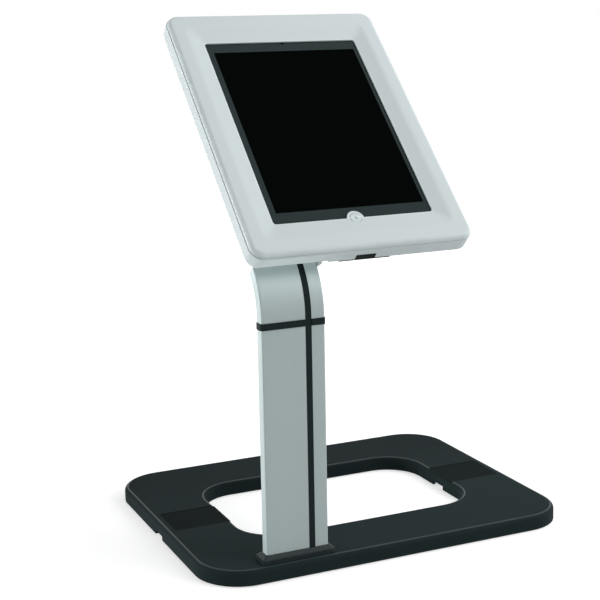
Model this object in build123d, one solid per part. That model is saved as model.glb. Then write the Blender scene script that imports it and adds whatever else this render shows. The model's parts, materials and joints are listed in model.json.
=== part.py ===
from build123d import *
import math
import os

# Counter-top stand for a tablet: ring base, flat column with a cable channel, neck bent back,
# and a closed two-part enclosure that tilts on a side hinge.
# Origin: centre of the base's footprint, at the height of the surface it stands on.
# +X is to the right as seen by the reader, -Y is the front, +Z is up.

os.makedirs("parts", exist_ok=True)

# Base
base_width = 380.0
base_depth = 300.0
base_height = 14.4
base_corner = 45.0
base_edge_round = 4.5
opening_width = 248.0
opening_depth = 160.0
opening_corner = 40.0
opening_edge_round = 3.0
cover_wall = 3.0
foot_stand_off = 1.0
foot_radius = 9.0
foot_chamfer = 0.8
foot_inset_x = 38.0
foot_inset_y = 33.0
plate_thickness = 6.0
plate_gap = 0.5
band_length = 50.0
band_centre_y = -2.5
band_depth = 1.2
band_margin = 9.0
band_corner = 3.0
pad_thickness = 0.8
pad_chamfer = 0.3
notch_width = 20.0
notch_height = 4.0
boss_radius = 4.0
boss_hole_gap = 0.5
boss_overlap = 0.5
arm_screw_y = 60.0
bar_screw_x = 55.0
base_washer_thickness = 1.0
base_washer_margin = 1.5
base_screw_head = 1.8
base_screw_end_room = 0.2

# Collar round the column's foot
collar_side = 4.8
collar_front = 3.9
collar_corner = 1.5
collar_wall_height = 4.6
collar_height = 7.4
collar_ledge = 0.5
collar_top_margin = 0.8
collar_groove_low = 1.9
collar_groove_height = 0.8
collar_groove_depth = 0.8
collar_edge_round = 0.4
collar_peg_radius = 1.3
collar_peg_inset = 2.4
collar_peg_end_room = 0.3

# Column and neck
column_width = 61.4
column_thickness = 11.0
column_inset_x = 87.4
column_inset_y = 9.9
column_height = 215.1
column_wall = 1.8
column_edge_round = 1.8
strip_offset = 14.45
strip_width = 6.1
strip_depth = 1.0
slot_width = 4.0
band_height = 6.1
band_proud = 0.7
neck_straight = 1.2
neck_radius = 72.0
neck_angle = 41.5
neck_corner = 3.0
block_height = 25.0
bolt_inset = 7.0
bolt_head = 3.0
bolt_reach = 15.0
foot_screw_height = 20.5
joiner_screw_drop = 12.5
joiner_angle = 12.0
plug_angle = 9.0
cable_way = 11.0
cable_hole_margin = 1.0

# Tilt hinge
hinge_angle = 46.5
knuckle_inset = 8.8
pin_radius = 3.0
pin_end_proud = 1.0
pin_head_thickness = 3.5
bush_wall = 0.9
bush_depth = 5.0
bush_flange = 0.8
friction_thickness = 2.0
spring_thickness = 1.0
nut_thickness = 3.5
bracket_thickness = 3.0
ear_boss_radius = 9.0
ear_corner_radius = 3.0
ear_corner_down = 9.4
ear_corner_out = 7.6
ear_root_down = 6.8
ear_root_up = 37.2
ear_root_depth = 1.0

# Enclosure, in its own frame: x to the right, y up along the screen, z out of the screen
head_tilt = 46.2
head_side_offset = 66.9
pivot_above_edge = 21.16
pivot_stand_off = 18.97
head_side_margin = 16.85
head_end_margin = 25.9
head_corner = 13.0
shell_depth = 14.9
shell_wall = 2.5
shell_edge_round = 3.0
neck_relief_leg = 3.8
neck_relief_margin = 3.0
frame_height = 5.0
frame_inset = 0.7
frame_edge_round = 4.3
frame_wall = 2.0
frame_side_wall = 2.5
seam_gap = 0.3
window_side_cover = 13.6
window_end_cover = 9.8
window_centre = (0.6, -0.6)
window_corner = 3.0
window_lip_top = 1.5
window_lip_bottom = 0.6
window_lip_width = 5.0
lip_rim_width = 2.5
lip_rim_gap = 0.15
slope_side = 14.75
slope_end = 18.7
crease_centre = (0.2, -0.2)
crease_corner = 10.0
crease_soften = 18.0
tablet_pocket_room = 3.0
gasket_inset = 3.5
gasket_side = 3.5
gasket_end = 2.5
tab_offset = (0.1, -0.9)
tab_radius = 8.3
tab_bottom = 1.1
tab_top = 2.0
button_radius = 5.3
button_flange = 0.9
button_flange_thickness = 0.35
button_gap = 0.3
button_travel = 0.6
button_edge_round = 0.3
button_dimple_radius = 1.5

# Plug cut-out in the enclosure's lower wall, and its cover
plug_width = 20.0
plug_depth = 8.4
plug_reach = 13.0
plug_offset = 1.8
relief_width = 51.0
relief_depth = 1.9
cover_inset = 0.9

# Bracket on the enclosure's back
bracket_edge_gap = 20.5
bracket_length = 80.0
bracket_corner = 5.0
bracket_screw_inset_x = 10.5
bracket_screw_inset_y = 14.0
bracket_screw_head = 1.8
bracket_nut_height = 3.2
bracket_nut_half = 3.5
bracket_screw_end_room = 0.6

# Tablet
tablet_width = 185.7
tablet_length = 241.2
tablet_depth = 8.8
tablet_corner = 12.0
tablet_offset = (2.0, 0.2)
tablet_wall = 1.2
tablet_side_wall = 2.5
tablet_back_round = 4.0
glass_thickness = 1.0
glass_chamfer = 0.3
display_side_border = 18.95
display_end_border = 22.05
display_corner = 0.5
display_thickness = 2.2
cell_side_room = 18.35
cell_low_room = 51.0
cell_gap = 4.0
cell_corner = 2.0
cell_thickness = 3.6
board_side_room = 15.35
board_top_room = 12.0
board_length = 16.0
board_thickness = 1.0

# Foam that holds the tablet
back_pad_size = (36.0, 24.0)
back_pad_inset = (31.0, 31.0)
side_pad_length = 28.0
side_pad_y = 70.0
end_pad_length = 24.0
low_pads_x = (-62.0, 32.0)
high_pads_x = (-28.0, 28.0)
side_pad_top = -1.5

# Front frame's hinge, behind the top edge
door_hinge_x = 60.0
door_hinge_inset = 3.5
door_hinge_back = 3.9
door_knuckle_radius = 3.5
door_knuckle_width = 12.0
door_lug_width = 5.0
door_pin_radius = 1.5
door_pin_chamfer = 0.3
door_arm_offset = 1.0
door_arm_thickness = 1.9
door_slot_gap = 0.2

# Cam lock in the enclosure's back
lock_x = 60.0
lock_inset = 16.3
lock_radius = 6.0
lock_flange_radius = 8.0
lock_flange = 1.8
lock_flange_round = 0.8
lock_nut_half = 7.5
lock_nut_height = 2.5
barrel_radius = 3.8
barrel_proud = 0.3
key_slot = (1.2, 5.2, 4.0)
cam_length = 11.0
cam_width = 7.0
cam_thickness = 1.8
cam_top = -3.5
cam_eye_margin = 0.8
cam_screw_head = 1.4
hook_width = 8.0
hook_reach = 13.0
hook_leg = 2.2
hook_toe = 1.8
hook_toe_gap = 1.2

# Clearances and fasteners
running_gap = 0.05
slip_gap = 0.1
body_gap = 0.3
press_gap = 0.02
pin_gap = 0.06
clearance_hole = 0.2
m3_radius = 1.5
m4_radius = 2.0
thread_end_room = 2.5
back_screw_reach = 4.3
back_hole_end_room = 1.1
screw_head_ratio = 1.9
small_head_share = 0.9
head_round_share = 0.35
pin_round_share = 0.6
socket_width_share = 0.85
socket_depth_share = 0.6
past = 1.0

# Heights in the base and column
base_bottom = foot_stand_off
base_top = base_bottom + base_height
plate_top = base_top - cover_wall
plate_bottom = plate_top - plate_thickness
column_top = base_top + column_height
neck_bottom = column_top + band_height
bend_start = neck_bottom + neck_straight

# Column section
column_centre_x = -base_width / 2 + column_inset_x
column_front_y = -base_depth / 2 + column_inset_y
column_back_y = column_front_y + column_thickness
column_centre_y = column_front_y + column_thickness / 2
column_left = column_centre_x - column_width / 2
column_right = column_centre_x + column_width / 2
inside_left = column_left + column_wall + slip_gap
inside_right = column_right - column_wall - slip_gap
inside_depth = column_thickness - 2 * column_wall - 2 * slip_gap
strip_centre_x = column_centre_x + strip_offset
cable_left = strip_centre_x - cable_way / 2
cable_right = strip_centre_x + cable_way / 2

# Neck arc
bend_centre_y = column_front_y + neck_radius
bend_axis = Axis((0, bend_centre_y, bend_start), (-1, 0, 0))
mid_radius = neck_radius - column_thickness / 2

# Tilt hinge axis
hinge_y = bend_centre_y - mid_radius * math.cos(math.radians(hinge_angle))
hinge_z = bend_start + mid_radius * math.sin(math.radians(hinge_angle))
knuckle_left = column_left + knuckle_inset
knuckle_radius = column_thickness / 2
washer_radius = knuckle_radius - body_gap
ear_left = column_right + body_gap
ear_right = ear_left + bracket_thickness
nut_right = ear_right + spring_thickness + nut_thickness
knuckle_right = ear_left - 2 * running_gap - friction_thickness - bush_flange

# Enclosure's sizes round the tablet
head_width = tablet_width + 2 * head_side_margin
head_length = tablet_length + 2 * head_end_margin
head_low = -head_length / 2
window_width = tablet_width - 2 * window_side_cover
window_length = tablet_length - 2 * window_end_cover
crease_width = window_width + 2 * slope_side
crease_length = window_length + 2 * slope_end
display_width = tablet_width - 2 * display_side_border
display_length = tablet_length - 2 * display_end_border
tab_centre = (window_centre[0] + tab_offset[0], window_centre[1] - window_length / 2 + tab_offset[1])
back_z = -shell_depth
floor_z = back_z + shell_wall
case_floor = -tablet_depth + tablet_wall
case_inside = (tablet_width - 2 * tablet_side_wall, tablet_length - 2 * tablet_side_wall)

# Enclosure's frame, carried by the tilt hinge
tilt = math.radians(head_tilt)
pivot_down = head_length / 2 - pivot_above_edge
pivot_back = shell_depth + pivot_stand_off
head_centre = (
    column_centre_x + head_side_offset,
    hinge_y + pivot_down * math.sin(tilt) - pivot_back * math.cos(tilt),
    hinge_z + pivot_down * math.cos(tilt) + pivot_back * math.sin(tilt),
)
head_plane = Plane(origin=head_centre, x_dir=(1, 0, 0), z_dir=(0, -math.cos(tilt), math.sin(tilt)))

# Bracket, plug, door hinge and lock in the enclosure's frame
bracket_back_z = back_z - bracket_thickness
bracket_half = head_centre[0] - ear_left
bracket_low = head_low + bracket_edge_gap
bracket_high = bracket_low + bracket_length
bracket_screw_x = bracket_half - bracket_screw_inset_x
door_hinge_y = head_length / 2 - door_hinge_inset
door_hinge_z = back_z - door_hinge_back
lock_y = head_low + lock_inset
lock_end = cam_top - cam_thickness - 2 * body_gap

# Places that repeat
arm_mid_x = (base_width + opening_width) / 4
bar_mid_y = (base_depth + opening_depth) / 4
base_screw_spots = [(sx * arm_mid_x, sy * arm_screw_y) for sx in (-1, 1) for sy in (-1, 1)]
base_screw_spots += [(sx * bar_screw_x, sy * bar_mid_y) for sx in (-1, 1) for sy in (-1, 1)]
foot_x = base_width / 2 - foot_inset_x
foot_y = base_depth / 2 - foot_inset_y
foot_spots = [(sx * foot_x, sy * foot_y) for sx in (-1, 1) for sy in (-1, 1)]
left_bolts_x = (inside_left + bolt_inset, cable_left - bolt_inset)
right_bolt_x = (cable_right + inside_right) / 2
column_bolt_spots = [(x, column_centre_y) for x in (*left_bolts_x, right_bolt_x)]
collar_peg_xs = (column_left - collar_peg_inset, column_right + collar_peg_inset)
block_screw_xs = ((inside_left + cable_left) / 2, right_bolt_x)
foot_screw_spots = [(x, base_top + foot_screw_height) for x in block_screw_xs]
joiner_screw_spots = [(x, column_top - joiner_screw_drop) for x in block_screw_xs]
bracket_screw_ys = (bracket_low + bracket_screw_inset_y, bracket_high - bracket_screw_inset_y)
bracket_screw_spots = [(sx * bracket_screw_x, y) for sx in (-1, 1) for y in bracket_screw_ys]

# Colours of the plain model
black = (0.10, 0.12, 0.13)
silver = (0.66, 0.70, 0.70)
steel = (0.55, 0.56, 0.57)
pale = (0.80, 0.83, 0.83)
dark = (0.05, 0.06, 0.07)
brass = (0.72, 0.60, 0.33)


def save(shape, name, colour):
    """Name one sub-part, give it a colour and write it as one file."""
    shape.label = name
    shape.color = Color(*colour)
    export_step(shape, f"parts/{name}.step")


def group(solids):
    """Several separate solids kept together in one node."""
    return Compound(children=list(solids))


def in_head(shape):
    """Move a shape from the enclosure's own frame to where the enclosure stands."""
    return head_plane.location * shape


def block(x0, x1, y0, y1, z0, z1):
    """Box between two values on each axis."""
    centre = ((x0 + x1) / 2, (y0 + y1) / 2, (z0 + z1) / 2)
    return Pos(*centre) * Box(x1 - x0, y1 - y0, z1 - z0)


def rod(x, y, z0, z1, radius):
    """Cylinder along Z between two heights."""
    return Pos(x, y, (z0 + z1) / 2) * Cylinder(radius, z1 - z0)


def cross_rod(x0, x1, y, z, radius):
    """Cylinder along X between two values."""
    return Pos((x0 + x1) / 2, y, z) * Rot(0, 90, 0) * Cylinder(radius, x1 - x0)


def rounded_prism(width, length, corner, z0, z1, centre=(0, 0)):
    """Rounded rectangle raised from one height to another."""
    outline = Pos(centre[0], centre[1], z0) * RectangleRounded(width, length, corner)
    return extrude(outline, z1 - z0)


def frustum(low, low_corner, low_place, high, high_corner, high_place):
    """Rounded rectangle at one place that changes evenly to another at a second place."""
    start = Pos(*low_place) * RectangleRounded(*low, low_corner)
    end = Pos(*high_place) * RectangleRounded(*high, high_corner)
    return loft([start, end], ruled=True)


def screw(x, y, z_seat, length, radius, head_height, up=True):
    """Pan-head screw: head below the seat and shank above it, or the other way up."""
    way = 1 if up else -1
    shank_ends = sorted((z_seat, z_seat + way * length))
    head_ends = sorted((z_seat, z_seat - way * head_height))
    shank = rod(x, y, *shank_ends, radius)
    head = rod(x, y, *head_ends, radius * screw_head_ratio)
    far_edge = head.edges().group_by(Axis.Z)[0 if up else -1]
    head = fillet(far_edge, head_height * head_round_share)
    socket_floor = z_seat - way * head_height * (1 - socket_depth_share)
    socket_ends = sorted((z_seat - way * head_height, socket_floor))
    socket = Pos(x, y, socket_ends[0]) * RegularPolygon(radius * socket_width_share, 6)
    return shank + head - extrude(socket, socket_ends[1] - socket_ends[0])


def back_screw(x, z):
    """Low screw through the column's back wall, pointing forwards."""
    flat = screw(0, 0, 0, column_wall + back_screw_reach, m3_radius, m3_radius * small_head_share)
    return Pos(x, column_back_y + slip_gap, z) * Rot(90, 0, 0) * flat


def back_hole(x, z):
    """Threaded hole from the back for one small screw."""
    depth = column_wall + back_screw_reach + back_hole_end_room
    hole = Cylinder(m3_radius + running_gap, 2 * depth)
    return Pos(x, column_back_y, z) * Rot(90, 0, 0) * hole


def wall_hole(x, z):
    """Clearance hole for one small screw in the extrusion's back wall."""
    hole = Cylinder(m3_radius + clearance_hole, 3 * column_wall)
    return Pos(x, column_back_y, z) * Rot(90, 0, 0) * hole


def bent(shape, angle):
    """Carry a shape from the bend's start along the bend."""
    return shape.rotate(bend_axis, angle)


def bend_sweep(x0, x1, depth, angle):
    """Bar of the neck's curve between two values of x, from the bend's start."""
    start = Pos((x0 + x1) / 2, column_centre_y, bend_start) * Rectangle(x1 - x0, depth)
    return revolve(start, axis=bend_axis, revolution_arc=angle)


def section(grow=0.0):
    """Column's outer outline, grown all round."""
    outline = RectangleRounded(column_width + 2 * grow, column_thickness + 2 * grow,
                               column_edge_round + grow)
    return Pos(column_centre_x, column_centre_y) * outline


def inner_section():
    """Outline of the space inside the extrusion."""
    return Pos(column_centre_x, column_centre_y) * Rectangle(
        column_width - 2 * column_wall, column_thickness - 2 * column_wall)


def profile():
    """Extruded section: rounded box, one inner space, front slot and the strip's rebate."""
    slot = Pos(strip_centre_x, column_front_y + column_wall / 2) * Rectangle(slot_width, column_wall * 2)
    rebate = Pos(strip_centre_x, column_front_y) * Rectangle(strip_width, 2 * strip_depth)
    return section() - inner_section() - slot - rebate


def strip_profile():
    """Flat cap in the rebate and a short root in the slot."""
    cap_width = strip_width - 2 * slip_gap
    cap_y = column_front_y + strip_depth / 2
    cap = Pos(strip_centre_x, cap_y) * Rectangle(cap_width, strip_depth - slip_gap)
    root_depth = column_wall - strip_depth / 2
    root_y = column_front_y + column_wall - root_depth / 2
    root = Pos(strip_centre_x, root_y) * Rectangle(slot_width - 2 * slip_gap, root_depth)
    return cap + root


def cable_hole(z0, z1):
    """Upright way for a cable under the column's channel."""
    half = inside_depth / 2 - slip_gap
    left = cable_left + cable_hole_margin
    right = cable_right - cable_hole_margin
    return block(left, right, column_centre_y - half, column_centre_y + half, z0, z1)


def ring(outer_shrink, z0, z1):
    """Base's ring outline, drawn in on both sides by one amount."""
    outer = rounded_prism(base_width - 2 * outer_shrink, base_depth - 2 * outer_shrink,
                          base_corner - outer_shrink, z0, z1)
    inner = rounded_prism(opening_width + 2 * outer_shrink, opening_depth + 2 * outer_shrink,
                          opening_corner + outer_shrink, z0 - past, z1 + past)
    return outer - inner


def arm_band(side, end_gap, z0, z1):
    """Shallow band across one arm, from the opening's edge towards the outside."""
    inner_x = opening_width / 2 - past + 3 * end_gap
    outer_x = base_width / 2 - band_margin - end_gap
    centre = (side * (inner_x + outer_x) / 2, band_centre_y)
    return rounded_prism(outer_x - inner_x, band_length - 2 * end_gap, band_corner, z0, z1, centre)


# Base cover
def make_base_cover():
    outer = rounded_prism(base_width, base_depth, base_corner, base_bottom, base_top)
    outer = fillet(outer.edges().group_by(Axis.Z)[-1], base_edge_round)
    opening = rounded_prism(opening_width, opening_depth, opening_corner, base_bottom - past, base_top + past)
    cover = outer - opening
    rim = cover.faces().sort_by(Axis.Z)[-1].inner_wires().edges()
    cover = fillet(rim, opening_edge_round)
    cover -= ring(cover_wall, base_bottom - past, plate_top)
    for x, y in base_screw_spots:
        cover += rod(x, y, plate_bottom, plate_top + boss_overlap, boss_radius)
    for x, y in base_screw_spots:
        cover -= rod(x, y, plate_bottom - past, plate_top + past, m3_radius + running_gap)
    for side in (-1, 1):
        cover -= arm_band(side, 0, base_top - band_depth, base_top + past)
    notch_top = base_bottom + notch_height
    cover -= block(-base_width, base_width, -notch_width / 2, notch_width / 2, base_bottom - past, notch_top)
    for x, y in column_bolt_spots:
        cover -= rod(x, y, plate_top - past, base_top + past, m4_radius + clearance_hole)
    for x in collar_peg_xs:
        cover -= rod(x, column_centre_y, plate_top - past, base_top + past, collar_peg_radius + slip_gap)
    return cover - cable_hole(plate_top - past, base_top + past)


# Ballast plate
def make_ballast_plate():
    plate = ring(cover_wall + plate_gap, plate_bottom, plate_top)
    for x, y in base_screw_spots:
        plate -= rod(x, y, plate_bottom - past, plate_top + past, boss_radius + boss_hole_gap)
    for x, y in column_bolt_spots:
        plate -= rod(x, y, plate_bottom - past, plate_top + past, m4_radius + clearance_hole)
    return plate - cable_hole(plate_bottom - past, plate_top + past)


# Feet, base screws, column bolts and inlays
def make_rubber_foot(x, y):
    foot = rod(x, y, 0, plate_bottom, foot_radius)
    return chamfer(foot.edges().group_by(Axis.Z)[0], foot_chamfer)


def make_base_screw(x, y):
    seat = plate_bottom - base_washer_thickness
    washer = rod(x, y, seat, plate_bottom, boss_radius + boss_hole_gap + base_washer_margin)
    length = base_washer_thickness + plate_thickness - base_screw_end_room
    return washer + screw(x, y, seat, length, m3_radius, base_screw_head)


def make_column_bolt(x, y):
    return screw(x, y, plate_bottom, plate_thickness + cover_wall + bolt_reach, m4_radius, bolt_head)


def make_arm_pad(side):
    pad_bottom = base_top - band_depth
    pad = arm_band(side, body_gap, pad_bottom, pad_bottom + pad_thickness)
    return chamfer(pad.edges().group_by(Axis.Z)[-1], pad_chamfer)


# Collar round the column's foot
def collar_outline(side, front, height, corner):
    """Rounded rectangle round the column, this much wider at its sides and deeper at its front and back."""
    outline = RectangleRounded(column_width + 2 * side, column_thickness + 2 * front, corner)
    return Pos(column_centre_x, column_centre_y, base_top + height) * outline


def make_foot_collar():
    """Low wall with a groove round it, a slope up to the column, and two pegs into the cover."""
    wall = extrude(collar_outline(collar_side, collar_front, 0, collar_corner), collar_wall_height)
    wall = fillet(wall.edges().group_by(Axis.Z)[-1], collar_edge_round)
    groove_outside = collar_outline(collar_side + past, collar_front + past, collar_groove_low, collar_corner)
    groove_inside = collar_outline(collar_side - collar_groove_depth, collar_front - collar_groove_depth,
                                   collar_groove_low, collar_corner)
    wall -= extrude(groove_outside - groove_inside, collar_groove_height)
    slope_low = collar_outline(collar_side - collar_ledge, collar_front - collar_ledge,
                               collar_wall_height, collar_corner)
    slope_high = collar_outline(collar_top_margin, collar_top_margin, collar_height,
                                column_edge_round + collar_top_margin)
    collar = wall + loft([slope_low, slope_high], ruled=True)
    for x in collar_peg_xs:
        collar += rod(x, column_centre_y, plate_top + collar_peg_end_room, base_top + past, collar_peg_radius)
    hole = extrude(section(slip_gap), collar_height + 2 * past)
    return collar - Pos(0, 0, base_top) * hole


# Blocks in the column's foot
def make_foot_block(x0, x1, bolts_x):
    half = inside_depth / 2
    part = block(x0, x1, column_centre_y - half, column_centre_y + half, base_top, base_top + block_height)
    hole_top = base_top + bolt_reach + thread_end_room
    for x in bolts_x:
        part -= rod(x, column_centre_y, base_top - past, hole_top, m4_radius + running_gap)
    for x, z in foot_screw_spots:
        if x0 < x < x1:
            part -= back_hole(x, z)
    return part


# Column
def make_column():
    tube = Pos(0, 0, base_top) * extrude(profile(), column_height)
    for x, z in foot_screw_spots + joiner_screw_spots:
        tube -= wall_hole(x, z)
    return tube


# Black band between column and neck
def make_joint_collar():
    band = Pos(0, 0, column_top) * extrude(section(band_proud), band_height)
    band -= Pos(0, 0, column_top - past) * extrude(inner_section(), band_height + 2 * past)
    notch_front = column_front_y - band_proud - past
    notch_back = column_front_y + column_wall
    half = strip_width / 2
    return band - block(strip_centre_x - half, strip_centre_x + half, notch_front, notch_back,
                        column_top - past, neck_bottom + past)


# Neck
def make_neck():
    straight = Pos(0, 0, neck_bottom) * extrude(profile(), neck_straight)
    curve = revolve(Pos(0, 0, bend_start) * profile(), axis=bend_axis, revolution_arc=neck_angle)
    tube = straight + curve
    for x, way in ((column_left, 1), (column_right, -1)):
        tube -= corner_cut(x, way)
    for x, z in joiner_screw_spots:
        tube -= bent(wall_hole(x, bend_start), joiner_angle / 2)
    return tube


def corner_cut(x, way):
    """Waste outside a quarter round at one corner of the neck's end."""
    size = neck_corner
    ends = sorted((x, x + way * size))
    square = block(*ends, column_front_y - past, column_back_y + past, bend_start - size, bend_start + past)
    keep = Pos(x + way * size, column_centre_y, bend_start - size) * Rot(90, 0, 0) * Cylinder(
        size, column_thickness + 4 * past)
    return bent(square - keep, neck_angle)


# Bars inside the joint
def make_joiner_bar(x0, x1):
    half = inside_depth / 2
    low = block(x0, x1, column_centre_y - half, column_centre_y + half,
                column_top - block_height, bend_start)
    bar = low + bend_sweep(x0, x1, inside_depth, joiner_angle)
    for x, z in joiner_screw_spots:
        if x0 < x < x1:
            bar -= back_hole(x, z)
            bar -= bent(back_hole(x, bend_start), joiner_angle / 2)
    return bar


def make_joiner_screws():
    low = [back_screw(x, z) for x, z in joiner_screw_spots]
    high = [bent(back_screw(x, bend_start), joiner_angle / 2) for x, z in joiner_screw_spots]
    return group(low + high)


# Channel strips
def make_lower_strip():
    return Pos(0, 0, base_top + slip_gap) * extrude(strip_profile(), neck_bottom - base_top - 2 * slip_gap)


def make_upper_strip():
    straight = Pos(0, 0, neck_bottom) * extrude(strip_profile(), neck_straight)
    curve = revolve(Pos(0, 0, bend_start) * strip_profile(), axis=bend_axis, revolution_arc=neck_angle)
    return straight + curve


# Blocks in the neck's end with the hinge knuckles
def make_hinge_block(plug_x, knuckle_x, bush_side):
    plug = bent(bend_sweep(*plug_x, inside_depth, plug_angle), neck_angle - plug_angle)
    head = bent(bend_sweep(*knuckle_x, column_thickness, hinge_angle - neck_angle), neck_angle)
    part = plug + head + cross_rod(*knuckle_x, hinge_y, hinge_z, knuckle_radius)
    bore = (knuckle_x[0] - past, knuckle_x[1] + past)
    part -= cross_rod(*bore, hinge_y, hinge_z, pin_radius + body_gap)
    mouth = knuckle_x[0] if bush_side < 0 else knuckle_x[1]
    seat = sorted((mouth - bush_side * bush_depth, mouth + bush_side))
    return part - cross_rod(*seat, hinge_y, hinge_z, pin_radius + bush_wall + running_gap)


def make_hinge_bush(mouth, way):
    """Flanged sleeve pressed into one knuckle."""
    sleeve = sorted((mouth - way * (bush_depth - slip_gap), mouth + way * bush_flange))
    flange = sorted((mouth, mouth + way * bush_flange))
    bush = cross_rod(*sleeve, hinge_y, hinge_z, pin_radius + bush_wall)
    bush += cross_rod(*flange, hinge_y, hinge_z, washer_radius)
    return bush - cross_rod(sleeve[0] - past, sleeve[1] + past, hinge_y, hinge_z, pin_radius + running_gap)


# Pin, washers and nut of the tilt hinge
def make_hinge_pin():
    head_right = knuckle_left - bush_flange - running_gap
    pin = cross_rod(head_right - past, nut_right + pin_end_proud, hinge_y, hinge_z, pin_radius)
    head = cross_rod(head_right - pin_head_thickness, head_right, hinge_y, hinge_z, washer_radius)
    head = fillet(head.edges().group_by(Axis.X)[0], pin_head_thickness * pin_round_share)
    return pin + head


def hinge_washer(x0, x1, radius):
    """Flat ring round the hinge pin."""
    bore = cross_rod(x0 - past, x1 + past, hinge_y, hinge_z, pin_radius + running_gap)
    return cross_rod(x0, x1, hinge_y, hinge_z, radius) - bore


def make_friction_washer():
    left = knuckle_right + bush_flange + running_gap
    return hinge_washer(left, left + friction_thickness, knuckle_radius)


def make_spring_washer():
    return hinge_washer(ear_right, ear_right + spring_thickness, knuckle_radius)


def make_hinge_nut():
    hexagon = RegularPolygon(knuckle_radius, 6, major_radius=False)
    nut = Pos(nut_right - nut_thickness, hinge_y, hinge_z) * Rot(0, 90, 0) * extrude(hexagon, nut_thickness)
    return nut - cross_rod(ear_right, nut_right + past, hinge_y, hinge_z, pin_radius + running_gap)


# Steel bracket: plate on the enclosure's back with one ear beside the neck
def make_tilt_bracket():
    centre_y = (bracket_low + bracket_high) / 2
    plate = rounded_prism(2 * bracket_half, bracket_length, bracket_corner,
                          bracket_back_z, back_z, (0, centre_y))
    for x, y in bracket_screw_spots:
        plate -= rod(x, y, bracket_back_z - past, back_z + past, m4_radius + clearance_hole)
    boss = Pos(-pivot_down, -pivot_back) * Circle(ear_boss_radius)
    corner = Pos(-pivot_down - ear_corner_down, -pivot_back + ear_corner_out) * Circle(ear_corner_radius)
    root_y = -pivot_down + (ear_root_up - ear_root_down) / 2
    root = Pos(root_y, back_z - ear_root_depth / 2) * Rectangle(ear_root_up + ear_root_down, ear_root_depth)
    outline = make_hull(boss.edges() + corner.edges() + root.edges())
    ear_plane = Plane(origin=(-bracket_half, 0, 0), x_dir=(0, 1, 0), z_dir=(1, 0, 0))
    ear = extrude(ear_plane * outline, bracket_thickness)
    bore = cross_rod(-bracket_half - past, -bracket_half + bracket_thickness + past,
                     -pivot_down, -pivot_back, pin_radius + running_gap)
    return in_head(plate + ear - bore)


def make_bracket_screw(x, y):
    length = shell_wall + bracket_thickness + bracket_nut_height - bracket_screw_end_room
    return screw(x, y, floor_z, length, m4_radius, bracket_screw_head, up=False)


def make_bracket_nut(x, y):
    low = bracket_back_z - bracket_nut_height
    hexagon = Pos(x, y, low) * RegularPolygon(bracket_nut_half, 6, major_radius=False)
    bore = rod(x, y, low - past, bracket_back_z + past, m4_radius + running_gap)
    return extrude(hexagon, bracket_nut_height) - bore


# Rear shell of the enclosure
def make_rear_shell():
    outer = rounded_prism(head_width, head_length, head_corner, back_z, 0)
    outer = fillet(outer.edges().group_by(Axis.Z)[0], shell_edge_round)
    shell = outer - rounded_prism(head_width - 2 * shell_wall, head_length - 2 * shell_wall,
                                  head_corner - shell_wall, floor_z, past)
    shell -= plug_space(0) + neck_relief()
    for x, y in bracket_screw_spots:
        shell -= rod(x, y, back_z - past, floor_z + past, m4_radius + clearance_hole)
    shell -= rod(lock_x, lock_y, back_z - past, floor_z + past, lock_radius + slip_gap)
    for side in (-1, 1):
        x = side * door_hinge_x
        half = door_knuckle_width / 2 + body_gap
        slot_low = door_hinge_y + door_arm_offset - door_slot_gap
        shell -= block(x - half, x + half, slot_low, head_length, back_z - past, past)
        shell -= cross_rod(x - half, x + half, door_hinge_y, door_hinge_z, door_knuckle_radius + 2 * body_gap)
        for way in (-1, 1):
            shell += door_lug(x, way)
    return in_head(shell)


def plug_space(gap):
    """Way for the charging plug through the lower wall with a shallow relief beside it, drawn in by a gap."""
    top = head_low + plug_reach - gap
    low = head_low if gap else head_low - past
    back = back_z + cover_inset if gap else back_z - past
    half = plug_width / 2 - gap
    side = relief_width / 2 - gap
    way = block(plug_offset - half, plug_offset + half, low, top, back, back_z + plug_depth - gap)
    return way + block(plug_offset - side, plug_offset + side, low, top, back, back_z + relief_depth - gap)


def neck_relief():
    """Slope along the lower back edge that leaves room for the neck's end."""
    left = column_left - head_centre[0] - neck_relief_margin
    right = ear_right - head_centre[0]
    diamond = Box(right - left, neck_relief_leg * math.sqrt(2), neck_relief_leg * math.sqrt(2))
    return Pos((left + right) / 2, head_low, back_z) * Rot(45, 0, 0) * diamond


def door_lug(x, way):
    """One ear of the front frame's hinge on the rear shell's back."""
    near = x + way * (door_knuckle_width / 2 + body_gap)
    far = near + way * door_lug_width
    ends = sorted((near, far))
    lug = cross_rod(*ends, door_hinge_y, door_hinge_z, door_knuckle_radius)
    lug += block(*ends, door_hinge_y - door_knuckle_radius, door_hinge_y, door_hinge_z, back_z + past / 2)
    bore = cross_rod(ends[0] - past, ends[1] + past, door_hinge_y, door_hinge_z, door_pin_radius + press_gap)
    return lug - bore


# Rubber cover in the plug cut-out
def make_port_cover():
    return in_head(plug_space(slip_gap))


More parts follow.
